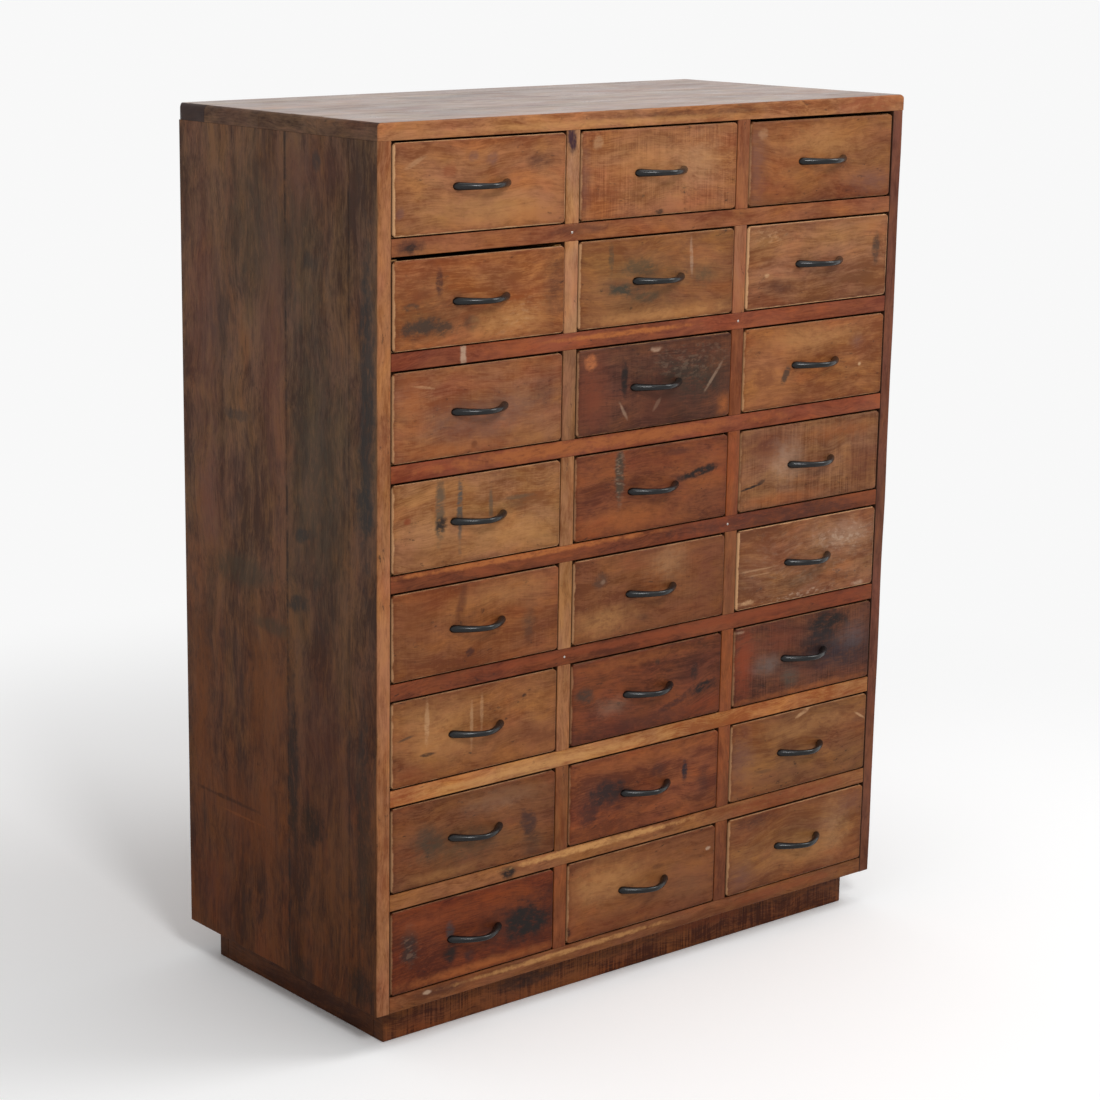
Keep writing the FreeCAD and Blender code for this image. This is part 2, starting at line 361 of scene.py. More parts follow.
def wood(shader, point, tone, grain, seed, figure=1.0, saw=0.0, blotch=0.3, marks=(), across_axis="x", contrast=1.0,
         lift=1.0):
    """Colour, roughness and relief of one planed, waxed old board, whose grain runs along the given axis."""
    dark, light = [linear([step * lift for step in colour]) for colour in TONES[tone]]
    order = [axis == grain for axis in "xyz"]

    def pattern(name, place=None):
        along, aside, shift, detail, busy = PATTERNS[name]
        scales = [along if part else aside for part in order]
        return shader.noise(shader.stretched(place or flow, scales, seed + shift), detail, busy)

    flow = shader.flowing(point, seed)
    lines, fibre, broad, mottle, cloud, drift, bloom, speck = [pattern(name) for name in (
        "lines", "fibre", "broad", "mottle", "cloud", "drift", "bloom", "speck")]
    tone_value = ((lines - 0.5) * (1.6 * figure) + (broad - 0.5) * 2.3 + (mottle - 0.5) * 2.1
                  + (fibre - 0.5) * 1.3) * contrast + 0.5
    height = lines * 0.4 + fibre * 0.3 + mottle * 0.3
    if saw:
        kerf = (pattern("kerf", point) - 0.5) * shader.ease(cloud, 0.38, 0.62, 0.35, 1.5)
        tone_value = tone_value + kerf * (1.3 * saw)
        height = height + kerf * (0.8 * saw)
    colour = shader.mix(tone_value, dark, light)
    for source, low, high, strength, times in (
            (tone_value, 0.5, -0.1, 0.85, (1.0, 0.85, 0.72)),
            (drift, 0.5, 0.68, 0.6, (1.07, 0.84, 0.72)),
            (drift, 0.5, 0.32, 0.6, (0.88, 0.98, 0.96)),
            (bloom, 0.48, 0.68, 0.7, (0.9, 0.86, 1.04)),
            (bloom, 0.52, 0.34, 0.7, (1.08, 1.06, 0.82))):
        colour = shader.tint(shader.ease(source, low, high, 0.0, strength), colour, times)
    colour = shader.paint(shader.ease(cloud, 0.54, 0.72, 0.0, blotch), colour, PLUM)
    dirt = shader.ease(speck, 0.6, 0.72, 0.0, 0.7) * shader.ease(cloud, 0.44, 0.62, 0.1, 1.0)
    colour = shader.paint(dirt, colour, BLACK)
    if marks:
        x, y, z = shader.split(point)
        spot = shader.joined({"x": x, "y": y}[across_axis], z)
        ragged = shader.even_noise(point, 48.0, seed + 9.1, 5.0, 0.7)
        broken = pattern("broken")
        for mark in marks:
            colour = shader.paint(mark_mask(shader, spot, ragged, broken, speck, mark), colour, mark["colour"])
    roughness = shader.ease(cloud, 0.3, 0.7, 0.48, 0.62) + (mottle - 0.5) * 0.3
    return colour, roughness, height


def front_wood(name, centre, half_wide, half_high, edge=0.6, **board):
    """The wood of a drawer front: pale along its edges, partly from wear and partly painted highlight, a little dirty
    beside them, and painted dark with shade on its faces in the gaps.
    """
    shader = Shader(name)
    point = shader.place(centre)
    colour, roughness, height = wood(shader, point, **board)
    x, y, z = shader.split(point)
    left, right = half_wide + x, half_wide - x
    low, high = half_high + z, half_high - z
    inside = shader.maths("MINIMUM", shader.maths("MINIMUM", left, right), shader.maths("MINIMUM", low, high))
    rub = shader.even_noise(point, 46.0, board["seed"], 5.0, 0.7) - 0.5
    handled = shader.ease(inside + rub * (46 * MM), 44 * MM, 4 * MM, 0.0, 0.32)
    colour = shader.tint(handled, colour, (0.78, 0.64, 0.58))
    under = shader.ease(z, half_high * 0.6, -half_high, 0.0, 0.3)
    colour = shader.tint(under, colour, (0.82, 0.76, 0.72))
    grime = shader.ease(inside + rub * (22 * MM), 9 * MM, 2 * MM, 0.0, 0.4)
    colour = shader.tint(grime, colour, (0.6, 0.5, 0.46))
    # Pale rim, partly wear and partly painted highlight: strongest along the left edge, weaker at the right and
    # bottom, faintest along the top edge.
    rim = shader.maths("MINIMUM", shader.maths("MINIMUM", left, right * 1.5),
                       shader.maths("MINIMUM", low * 1.7, high * 4.0))
    reach = (1.6 + 2.4 * edge) * MM
    worn = shader.ease(rim + rub * (8 * MM), reach, reach - 2.4 * MM, 0.0, edge)
    colour = shader.paint(worn, colour, RUBBED_AND_HIGHLIGHT)
    # Painted shade: the front's faces that lie back in the gaps are painted dark
    behind = shader.ease(y, 2.6 * MM - FRONT_THICK / 2, 5 * MM - FRONT_THICK / 2)
    colour = shader.paint(behind, colour, GAP_SHADE_AND_DIRT)
    return shader.finish(colour, roughness, height)


def plain_wood(name, tone, grain, seed, **board):
    """The wood of a board that shows little."""
    shader = Shader(name)
    colour, roughness, height = wood(shader, shader.place(), tone, grain, seed, **board)
    return shader.finish(colour, roughness, height, relief=0.3)


def frame_wood(name, origin, front, tone, grain, seed, **board):
    """The wood of a rail or post, painted darker behind its front with the dirt and shade that gather round the
    drawers.
    """
    shader = Shader(name)
    point = shader.place(origin)
    colour, roughness, height = wood(shader, point, tone, grain, seed, **board)
    # Painted shade and dirt on the faces behind the front
    behind = shader.ease(shader.split(point)[1] - front, 1.2 * MM, 3 * MM)
    return shader.finish(shader.paint(behind, colour, GAP_SHADE_AND_DIRT), roughness, height)


def black_iron():
    """Waxed iron: nearly black, with a soft shine and a little brown where hands rub."""
    shader = Shader("black_iron")
    rub = shader.even_noise(shader.place(), 55.0, 3.0, 3.0, 0.6)
    colour = shader.mix(shader.ease(rub, 0.5, 0.75), linear((8, 8, 9)), linear((26, 22, 19)))
    return shader.finish(colour, shader.ease(rub, 0.3, 0.7, 0.2, 0.27), specular=0.36)


def bright_steel():
    """A nail head rubbed bright."""
    shader = Shader("bright_steel")
    wear = shader.even_noise(shader.place(), 700.0)
    colour = shader.mix(wear, linear((120, 112, 104)), linear((214, 208, 200)))
    return shader.finish(colour, 0.35, metallic=0.7, specular=0.5)


def grid_lines(low, high, radius, step, worn):
    """Where a board's mesh lines run along one axis, close together round its edges and where they are worn."""
    bends = [radius * (1 - math.tan(math.radians(angle))) for angle in (45, 30, 15, 0)]
    bends += [reach for reach in worn if reach > radius + 0.3 * MM and reach < (high - low) / 2 - 0.3 * MM]
    span = high - low - 2 * bends[-1]
    count = max(1, round(span / step))
    middle = [low + bends[-1] + span * part / count for part in range(1, count)]
    return [low + bend for bend in bends] + middle + [high - bend for bend in reversed(bends)]


def rounded_board(mesh, low, high, material, radius=1.5 * MM, step=60 * MM, worn=(), square=()):
    """Adds one board with rounded edges between two corners. The faces named in square, each an axis and
    an end, keep sharp edges. worn lists how far from its edges the board has extra lines."""
    low, high = Vector(low), Vector(high)
    radius = min(radius, 0.45 * min(high - low))
    lines = [grid_lines(low[axis], high[axis], radius, step, worn) for axis in range(3)]
    core_low = Vector([low[axis] + (0 if (axis, 0) in square else radius) for axis in range(3)])
    core_high = Vector([high[axis] - (0 if (axis, 1) in square else radius) for axis in range(3)])
    made = {}

    def vertex(point):
        key = tuple(round(value, 7) for value in point)
        if key not in made:
            ends = [(axis, 0) for axis in range(3) if point[axis] == low[axis]]
            ends += [(axis, 1) for axis in range(3) if point[axis] == high[axis]]
            if len(ends) == 1 and ends[0] in square:
                place = point
            else:
                core = Vector([min(max(value, a), b) for value, a, b in zip(point, core_low, core_high)])
                place = core + (point - core).normalized() * radius
            made[key] = mesh.verts.new(place)
        return made[key]

    for axis in range(3):
        first, second = (axis + 1) % 3, (axis + 2) % 3
        for end, level in enumerate((low[axis], high[axis])):
            for a0, a1 in zip(lines[first], lines[first][1:]):
                for b0, b1 in zip(lines[second], lines[second][1:]):
                    corners = []
                    for a, b in ((a0, b0), (a1, b0), (a1, b1), (a0, b1)):
                        point = Vector((0, 0, 0))
                        point[axis], point[first], point[second] = level, a, b
                        corners.append(vertex(point))
                    if end == 0:
                        corners.reverse()
                    face = mesh.faces.new(corners)
                    face.material_index = material
                    face.smooth = True
    return list(made.values())


def round_off(vertices, axes, corner, outward, radius, waves=0.0, seed=0.0):
    """Wears the edge where two faces meet to a round one. axes are the two that cross the edge, corner is
    where the edge lies on them and outward its direction on each. waves lets the radius change along it."""
    first, second = axes
    along = 3 - first - second
    for vertex in vertices:
        point = vertex.co
        reach = radius
        if waves:
            reach *= 1 + waves * noise.noise(Vector((point[along] * 9 + seed, seed, 0.5)))
        a = (point[first] - corner[0]) * outward[0] / reach + 1
        b = (point[second] - corner[1]) * outward[1] / reach + 1
        if a > 0 and b > 0:
            a, b = min(a, 1), min(b, 1)
            point[first] = corner[0] + outward[0] * reach * (a * math.sqrt(1 - b * b / 2) - 1)
            point[second] = corner[1] + outward[1] * reach * (b * math.sqrt(1 - a * a / 2) - 1)


def placed(name, data):
    """A new object in the scene."""
    made = bpy.data.objects.new(name, data)
    bpy.context.scene.collection.objects.link(made)
    return made


def fitted(piece, body, nodes):
    """Lets a piece ride on its body and stand for the CAD nodes."""
    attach(piece, body)
    if nodes:
        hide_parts(*nodes)


def made_piece(name, mesh, materials, body, node):
    """Turns the mesh into a piece that rides on its body and stands for the CAD node."""
    data = bpy.data.meshes.new(name)
    mesh.to_mesh(data)
    mesh.free()
    for material in materials:
        data.materials.append(material)
    fitted(placed(name, data), body, [node])


# What each drawer front looks like: its tone, how it was sawn, and its stains, knots and scratches.
# A mark's place and size are in millimetres from the middle of the front, to the right and up.
FRONTS = {
    (1, 1): dict(lift=0.97, tone="warm tan", figure=0.7, blotch=0.15, edge=0.95, marks=[
        haze(0, -34, 90, 20, HONEY, 0.3), haze(101, 26, 26, 11, PLUM, 0.5), stain(-15, 39, 8, 7, MAUVE, 0.45),
        stain(18, 34, 11, 8, MAUVE, 0.45), stain(-55, 21, 16, 9, RUST, 0.35), stain(-138, -32, 7, 8, MAUVE, 0.5),
        stain(-115, 34, 16, 3, PALE, 0.2, turn=25)]),
    (1, 2): dict(tone="warm tan", figure=0.5, saw=0.8, edge=0.5, marks=[
        haze(-146, 0, 12, 60, MAUVE, 0.4), stain(-121, 46, 10, 9, PALE, 0.28), stain(-2, -57, 9, 4, BLACK, 0.6),
        haze(70, 14, 50, 36, PALE, 0.2), haze(-20, 0, 80, 40, HONEY, 0.2)]),
    (1, 3): dict(tone="orange tan", figure=0.6, edge=0.4, marks=[
        haze(-138, -6, 20, 62, MAUVE, 0.5), stain(-125, 43, 9, 8, PALE, 0.22), haze(0, 26, 70, 26, HONEY, 0.35),
        haze(110, -38, 46, 18, MAUVE, 0.5), haze(-90, -40, 40, 18, RUST, 0.35)]),
    (2, 1): dict(lift=1.12, tone="orange tan", figure=0.9, blotch=0.3, edge=0.7, marks=[
        haze(-92, -12, 56, 44, (90, 56, 34), 0.45), stain(-72, 30, 6, 19, PLUM, 0.6),
        stain(-105, -31, 38, 12, SMOKE, 0.7, turn=5), stain(-62, -36, 22, 12, SMOKE, 0.6),
        stain(-18, -31, 17, 11, PLUM, 0.6), haze(48, -34, 64, 18, HONEY, 0.45), haze(132, 8, 20, 52, PLUM, 0.5),
        stain(-120, -2, 14, 5, SMOKE, 0.5), flecks(66, -30, 40, 20, PALE, 0.14, turn=30)]),
    (2, 2): dict(lift=1.05, tone="olive tan", figure=0.7, blotch=0.25, edge=0.7, marks=[
        haze(-20, 0, 80, 34, MOSS, 0.3), stain(-68, -11, 24, 9, (66, 58, 46), 0.8),
        stain(-32, 18, 34, 12, MOSS, 0.5), stain(-18, -25, 26, 8, MOSS, 0.5), stain(-91, 34, 5, 22, MOSS, 0.45),
        stain(64, 26, 3, 30, CHALK, 0.35, turn=4), haze(86, -2, 22, 15, MOSS, 0.45),
        haze(0, -52, 130, 10, HONEY, 0.45)]),
    (2, 3): dict(lift=1.08, tone="grey tan", figure=1.5, blotch=0.15, edge=1.0, marks=[
        stain(124, 12, 8, 22, SMOKE, 0.6), haze(-85, -31, 24, 11, PLUM, 0.4), stain(-108, -13, 5, 3, PALE, 0.6),
        flecks(-110, 46, 40, 12, PALE, 0.25), haze(20, 36, 80, 12, HONEY, 0.2)]),
    (3, 1): dict(tone="reddish tan", figure=0.6, saw=0.25, edge=0.6, marks=[
        haze(8, -11, 98, 26, (112, 80, 66), 0.55), stain(-98, 39, 20, 2, PALE, 0.35, turn=-10),
        stain(-9, -49, 7, 5, PLUM, 0.6), haze(-50, -52, 80, 9, ORANGE, 0.4), haze(116, 20, 20, 30, PLUM, 0.3),
        haze(-116, 20, 24, 36, ORANGE, 0.35)]),
    (3, 2): dict(lift=1.04, tone="dark plum", figure=1.0, blotch=0.5, saw=0.3, edge=0.45, marks=[
        haze(-122, -4, 28, 60, (112, 58, 38), 0.65), haze(66, 2, 84, 50, (50, 42, 34), 0.65),
        stain(-62, 14, 7, 24, BLACK, 0.95), stain(-126, 44, 11, 11, (176, 106, 64), 0.6),
        stain(-64, -30, 15, 3, CHALK, 0.35, turn=-60), stain(-2, 51, 10, 4, CHALK, 0.5),
        stain(2, -30, 11, 3, CHALK, 0.4, turn=50), haze(0, -30, 40, 26, (92, 48, 32), 0.5),
        stain(114, 0, 2.5, 26, CHALK, 0.28, turn=-40), flecks(60, 30, 70, 24, CHALK, 0.1),
        haze(138, -44, 14, 16, ORANGE, 0.6)]),
    (3, 3): dict(lift=1.05, tone="orange tan", figure=0.7, edge=0.6, marks=[
        stain(-105, -14, 21, 19, (112, 62, 36), 0.5), stain(-62, -14, 6, 16, SMOKE, 0.65, turn=-25),
        haze(91, 26, 14, 10, MAUVE, 0.5), haze(-114, 34, 20, 12, (112, 62, 36), 0.35),
        haze(10, 38, 80, 16, HONEY, 0.35), stain(98, -12, 4, 3, PALE, 0.6)]),
    (4, 1): dict(tone="yellow tan", figure=0.7, saw=0.2, edge=0.7, marks=[
        stain(-68, 18, 8, 46, (96, 78, 60), 0.7, broken=0.8),
        stain(-33, 15, 5, 52, (88, 76, 66), 0.75, broken=0.8),
        stain(22, 12, 4, 26, (96, 78, 60), 0.6, broken=0.8), stain(-65, 0, 9, 10, BLACK, 0.7),
        stain(68, 20, 25, 3, (100, 76, 56), 0.5), stain(-125, 10, 6, 4, RUST, 0.6),
        haze(70, 12, 30, 14, MOSS, 0.25), haze(-90, -44, 60, 10, (120, 76, 40), 0.4, turn=-14),
        haze(60, -30, 80, 20, HONEY, 0.3)]),
    (4, 2): dict(tone="red brown", figure=0.7, blotch=0.35, edge=0.4, marks=[
        stain(-66, 25, 8, 42, (72, 58, 46), 0.8), stain(84, 11, 42, 6, BLACK, 0.8, turn=8),
        stain(114, 17, 14, 6, BLACK, 0.7), stain(48, 48, 26, 6, PLUM, 0.5), haze(-40, -40, 90, 18, ORANGE, 0.45),
        flecks(-66, 25, 9, 40, CHALK, 0.2), haze(30, 36, 60, 14, RUST, 0.3)]),
    (4, 3): dict(tone="grey tan", figure=0.7, saw=1.2, blotch=0.3, edge=0.4, marks=[
        haze(-92, 33, 46, 20, (96, 52, 36), 0.7), stain(-128, -26, 21, 2, BLACK, 0.85, turn=8),
        stain(-104, -20, 10, 3, BLACK, 0.5, turn=20), haze(-50, 6, 32, 34, CHALK, 0.3),
        haze(60, 40, 70, 14, ORANGE, 0.35), haze(-60, -50, 80, 9, ORANGE, 0.4),
        haze(110, -20, 30, 34, (104, 58, 40), 0.5)]),
    (5, 1): dict(lift=1.08, tone="mid brown", figure=0.6, saw=0.35, marks=[
        stain(-28, 36, 8, 26, (88, 44, 28), 0.6, turn=-15, broken=0.4), stain(-13, -39, 8, 6, PLUM, 0.6),
        haze(94, -12, 12, 24, SMOKE, 0.45), haze(-110, 20, 30, 30, (116, 66, 36), 0.4),
        haze(50, 40, 80, 16, HONEY, 0.2)]),
    (5, 2): dict(tone="mid brown", figure=0.8, saw=0.45, marks=[
        stain(-98, 27, 15, 11, (78, 56, 44), 0.55), stain(-94, 25, 5, 4, CHALK, 0.2),
        haze(34, 40, 34, 26, PALE, 0.2), stain(-15, -40, 13, 6, PLUM, 0.4),
        haze(112, -2, 30, 50, (110, 60, 42), 0.45), haze(-90, -36, 60, 20, HONEY, 0.35)]),
    (5, 3): dict(lift=1.05, tone="grey tan", figure=1.3, saw=0.2, edge=0.95, marks=[
        flecks(84, 26, 52, 16, CHALK, 0.4), flecks(-20, -56, 60, 7, CHALK, 0.6), haze(84, 26, 60, 20, CHALK, 0.3),
        stain(-105, -3, 36, 1.6, PALE, 0.4), stain(-100, -11, 30, 1.4, PALE, 0.25),
        stain(-131, -52, 16, 4, PALE, 0.6), stain(114, -56, 12, 4, CHALK, 0.7),
        haze(10, -26, 70, 12, MOSS, 0.35, turn=14), haze(-100, 10, 40, 24, (124, 76, 52), 0.35),
        flecks(20, 0, 140, 60, CHALK, 0.1)]),
    (6, 1): dict(lift=0.98, tone="orange tan", figure=0.8, saw=0.25, marks=[
        haze(-60, 10, 60, 40, HONEY, 0.3), stain(-88, 26, 4, 28, PALE, 0.3), stain(-8, 6, 3, 34, PALE, 0.3),
        stain(10, 20, 3, 30, PALE, 0.25), stain(-85, -22, 12, 2.5, BLACK, 0.6), stain(88, 33, 5, 3, BLACK, 0.6),
        stain(-124, 8, 14, 2, SMOKE, 0.5, turn=10), haze(100, -28, 60, 14, (106, 60, 34), 0.6, turn=-10),
        haze(-110, -46, 50, 12, RUST, 0.35)]),
    (6, 2): dict(tone="dark red", figure=0.9, blotch=0.4, edge=0.35, marks=[
        stain(-121, 11, 18, 12, SMOKE, 0.65), stain(18, 39, 5, 5, BLACK, 0.8), stain(94, 12, 9, 13, BLACK, 0.6),
        stain(114, -15, 32, 9, BLACK, 0.8, turn=10), stain(50, -32, 30, 5, PLUM, 0.6, turn=15),
        haze(-20, 50, 110, 10, ORANGE, 0.35), haze(-10, -50, 110, 12, PLUM, 0.5),
        haze(-70, -14, 30, 14, CHALK, 0.15)]),
    (6, 3): dict(lift=1.03, tone="dark plum", figure=0.8, saw=1.0, blotch=0.4, edge=0.4, marks=[
        haze(-132, 8, 24, 54, (130, 60, 34), 0.7), haze(-50, 30, 50, 24, (112, 56, 36), 0.5),
        stain(52, 42, 44, 22, BLACK, 0.8), stain(36, 12, 42, 26, (42, 34, 34), 0.6),
        haze(84, -14, 60, 22, (50, 38, 42), 0.7), haze(-78, -5, 30, 15, (104, 92, 86), 0.45),
        haze(110, 12, 34, 20, (92, 80, 80), 0.4), haze(-28, -34, 16, 16, (78, 78, 70), 0.5),
        haze(0, -58, 150, 7, ORANGE, 0.5), stain(-140, 56, 10, 3, CHALK, 0.4)]),
    (7, 1): dict(lift=1.08, tone="olive brown", figure=0.7, blotch=0.2, edge=0.5, marks=[
        haze(-85, 2, 24, 22, (62, 54, 44), 0.6), haze(-20, -16, 70, 24, MOSS, 0.4),
        stain(99, -6, 13, 22, (58, 40, 38), 0.6, turn=20), haze(104, -40, 20, 18, SMOKE, 0.4),
        haze(40, 40, 60, 14, CHALK, 0.15), haze(60, 44, 60, 10, (124, 84, 54), 0.5),
        haze(-60, -52, 70, 8, HONEY, 0.25)]),
    (7, 2): dict(lift=1.07, tone="red brown", figure=0.7, blotch=0.35, edge=0.35, marks=[
        haze(-80, 0, 52, 34, PLUM, 0.5), stain(-78, 6, 38, 18, (48, 34, 32), 0.75),
        stain(-112, -18, 18, 17, PLUM, 0.6), stain(80, 12, 5, 15, (44, 34, 38), 0.75),
        haze(118, -11, 13, 24, PLUM, 0.5), stain(25, 22, 14, 12, PLUM, 0.45), haze(0, 50, 120, 12, ORANGE, 0.35),
        haze(-90, -48, 60, 12, (92, 48, 28), 0.5)]),
    (7, 3): dict(tone="olive tan", figure=1.0, blotch=0.12, edge=0.6, marks=[
        haze(-130, 6, 24, 44, MAUVE, 0.4), stain(4, 56, 16, 3, PALE, 0.5, turn=20),
        stain(136, 28, 14, 2, PALE, 0.5, turn=-30), haze(20, 34, 90, 14, HONEY, 0.25),
        stain(-76, -24, 18, 3, SMOKE, 0.3)]),
    (8, 1): dict(lift=1.04, tone="deep orange", figure=0.9, blotch=0.4, edge=0.35, marks=[
        haze(84, -6, 66, 38, (62, 34, 26), 0.8), stain(98, -8, 42, 26, (36, 30, 28), 0.85),
        stain(-118, 8, 14, 28, (58, 40, 34), 0.8), stain(-45, 14, 8, 15, (70, 56, 54), 0.85),
        stain(-44, -22, 12, 14, BLACK, 0.7), stain(-9, -34, 11, 8, PLUM, 0.7), haze(0, -54, 140, 8, ORANGE, 0.6),
        flecks(-118, 8, 16, 28, CHALK, 0.12), haze(-80, 36, 60, 14, (132, 66, 34), 0.5)]),
    (8, 2): dict(tone="mid brown", figure=0.8, blotch=0.12, edge=0.5, marks=[
        stain(29, 22, 13, 4, (96, 56, 34), 0.7), stain(134, 28, 5, 3, CHALK, 0.7),
        stain(-147, -44, 4, 7, BLACK, 0.6), haze(-70, 20, 70, 30, HONEY, 0.35),
        haze(100, -26, 44, 24, (118, 78, 52), 0.35), haze(-40, -48, 90, 12, RUST, 0.25)]),
    (8, 3): dict(lift=1.06, tone="olive tan", figure=0.8, blotch=0.12, edge=0.6, marks=[
        haze(-98, 50, 40, 11, PLUM, 0.55), haze(-120, -36, 30, 20, MAUVE, 0.5), haze(84, 10, 26, 50, PALE, 0.15),
        haze(20, -20, 80, 24, HONEY, 0.25), haze(118, 40, 30, 20, MAUVE, 0.3)]),
}


def drawer_piece(row, column, inner_wood):
    """One drawer with rounded, worn edges: front, sides, back and bottom."""
    name = f"r{row}_c{column}"
    low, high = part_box(f"drawer_{name}")
    handle_low, handle_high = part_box(f"handle_{name}")
    middle = (handle_low.z + handle_high.z) / 2
    floor = TOP_LOW.z - (row - 1) * PITCH - OPENING_HIGH
    front_low = floor + FRONT_GAP
    front_high = 2 * middle - front_low
    half_high = (front_high - front_low) / 2
    half_wide = (high.x - low.x) / 2
    centre = Vector(((low.x + high.x) / 2, low.y + FRONT_THICK / 2, middle))
    front = front_wood(f"front_wood_{name}", centre, half_wide, half_high, grain="x", seed=row * 3.1 + column * 7.7,
                       **FRONTS[row, column])
    mesh = bmesh.new()
    front_rear = low.y + FRONT_THICK
    lap_y = low.y + LAP
    inner_low, inner_high = low.x + BOX_BOARD, high.x - BOX_BOARD
    groove = low.z + GROOVE_LIFT
    slab = rounded_board(mesh, (low.x, low.y, front_low), (high.x, lap_y, front_high), 0, FRONT_EDGE, FRONT_STEP,
                         worn=(4.6 * MM, 6.2 * MM, 8 * MM), square=((1, 1),))
    for x, out_x in ((low.x, -1), (high.x, 1)):
        for z, out_z in ((front_low, -1), (front_high, 1)):
            round_off(slab, (0, 2), (x, z), (out_x, out_z), FRONT_CORNER)
    rounded_board(mesh, (inner_low + 0.1 * MM, lap_y - 4 * MM, front_low + 1 * MM),
                  (inner_high - 0.1 * MM, front_rear, front_high - 1 * MM), 0, 0.5 * MM)
    for x0, x1 in ((low.x, inner_low), (inner_high, high.x)):
        rounded_board(mesh, (x0, lap_y, low.z), (x1, high.y, high.z), 1, BOX_EDGE)
    rounded_board(mesh, (inner_low, high.y - BOX_BOARD, groove + BOX_BOTTOM), (inner_high, high.y, high.z),
                  1, BOX_EDGE)
    rounded_board(mesh, (inner_low - GROOVE, front_rear - GROOVE, groove),
                  (inner_high + GROOVE, high.y, groove + BOX_BOTTOM), 1, 0.5 * MM)
    made_piece(f"worn_drawer_{name}", mesh, [front, inner_wood], f"drawer_{name}", f"drawer_{name}")


class Recipe(Tree):
    """A Geometry Nodes tree with named inputs."""

    def __init__(self, name):
        self.made = bpy.data.node_groups.new(name, "GeometryNodeTree")
        super().__init__(self.made)
        for way in ("INPUT", "OUTPUT"):
            self.made.interface.new_socket("Geometry", in_out=way, socket_type="NodeSocketGeometry")
        self.start = self.nodes.new("NodeGroupInput")
        self.end = self.nodes.new("NodeGroupOutput")

    def size(self, name, value, kind="NodeSocketFloat"):
        """A named input and its usual value."""
        self.made.interface.new_socket(name, in_out="INPUT", socket_type=kind).default_value = value
        return Wire(self, self.start.outputs[name])

    def close(self, shape, material):
        """Ends the tree with plain geometry in its material."""
        real = self.node("GeometryNodeRealizeInstances", None, {0: shape})
        dressed = self.node("GeometryNodeSetMaterial", None, {0: real, 2: material})
        self.links.new(dressed.socket, self.end.inputs[0])
        return self

    def grow(self, name, sizes, body, nodes, slot, points=()):
        """Makes a piece from the tree: the result as a plain mesh, riding on its body."""
        data = bpy.data.meshes.new(name)
        data.from_pydata([tuple(point) for point in points], [], [])
        piece = placed(name, data)
        modifier = piece.modifiers.new("recipe", "NODES")
        modifier.node_group = self.made
        for item in self.made.interface.items_tree:
            if item.in_out == "INPUT" and item.name in sizes:
                modifier[item.identifier] = sizes[item.name]
        piece.update_tag()
        result = bpy.data.meshes.new_from_object(piece.evaluated_get(bpy.context.evaluated_depsgraph_get()))
        piece.modifiers.remove(modifier)
        piece.data = result
        result.name = name
        fitted(piece, body, nodes)


def bow_recipe(iron):
    """A bow handle on a face: an iron rod that follows an arch, thin in the middle, its feet cut flat."""
    recipe = Recipe("bow_handle")
    centre = recipe.size("Centre", (0.0, 0.0, 0.0), "NodeSocketVector")
    span = recipe.size("Span", HANDLE_SPAN)
    rise = recipe.size("Rise", HANDLE_RISE)
    power = recipe.size("Power", HANDLE_POWER)
    rod = recipe.size("Rod", ROD)
    foot = recipe.size("Foot", FOOT)
    gain = recipe.size("Swell", ROD_SWELL)
    line = recipe.node("GeometryNodeResampleCurve", None, {
        "Curve": recipe.node("GeometryNodeCurvePrimitiveLine"), "Count": 49})
    part = recipe.node("GeometryNodeSplineParameter")
    along = recipe.maths("MULTIPLY_ADD", part, 2 * ROD_REACH, -ROD_REACH)
    size = abs(along)
    path = recipe.joined(along * (span * 0.5), (size ** power - 1.0) * rise)
    line = recipe.node("GeometryNodeSetPosition", None, {"Geometry": line, "Position": path})
    radius = rod + (foot - rod) * recipe.maths("MINIMUM", size, 1.0) ** gain
    tip = recipe.maths("MAXIMUM", size - 0.9, 0.0) / 0.2
    radius = radius * recipe.maths("SQRT", 1.0 - tip * tip)
    ring = recipe.node("GeometryNodeCurvePrimitiveCircle", None, {"Resolution": 20, "Radius": 1.0})
    shape = recipe.node("GeometryNodeCurveToMesh", None,
                        {"Curve": line, "Profile Curve": ring, "Scale": radius, "Fill Caps": True})
    x, y, z = recipe.split(recipe.node("GeometryNodeInputPosition"))
    seated = recipe.joined(x, recipe.maths("MINIMUM", y, 0.0), z)
    shape = recipe.node("GeometryNodeSetPosition", None, {"Geometry": shape, "Position": seated})
    shape = recipe.node("GeometryNodeTransform", None, {"Geometry": shape, "Translation": centre})
    return recipe.close(shape, iron)


def screw_recipe(name, metal, sides):
    """Low domed heads set on points, facing along Y."""
    recipe = Recipe(name)
    head = recipe.size("Head", SCREW_HEAD)
    depth = recipe.size("Depth", SCREW_DEPTH)
    turn = recipe.size("Turn", (0.0, 0.0, 0.0), "NodeSocketVector")
    rim = recipe.node("GeometryNodeMeshCone", None, {
        "Vertices": sides, "Side Segments": 2, "Radius Bottom": head, "Radius Top": head * 0.6, "Depth": depth})
    facing = recipe.node("GeometryNodeTransform", None, {"Geometry": rim, "Rotation": turn})
    points = Wire(recipe, recipe.start.outputs["Geometry"])
    set_out = recipe.node("GeometryNodeInstanceOnPoints", None, {"Points": points, "Instance": facing})
    return recipe.close(set_out, metal)


def rail_height(row):
    """The underside and upper face of the rail under a row."""
    upper = TOP_LOW.z - row * PITCH + RAIL
    return upper - RAIL, upper


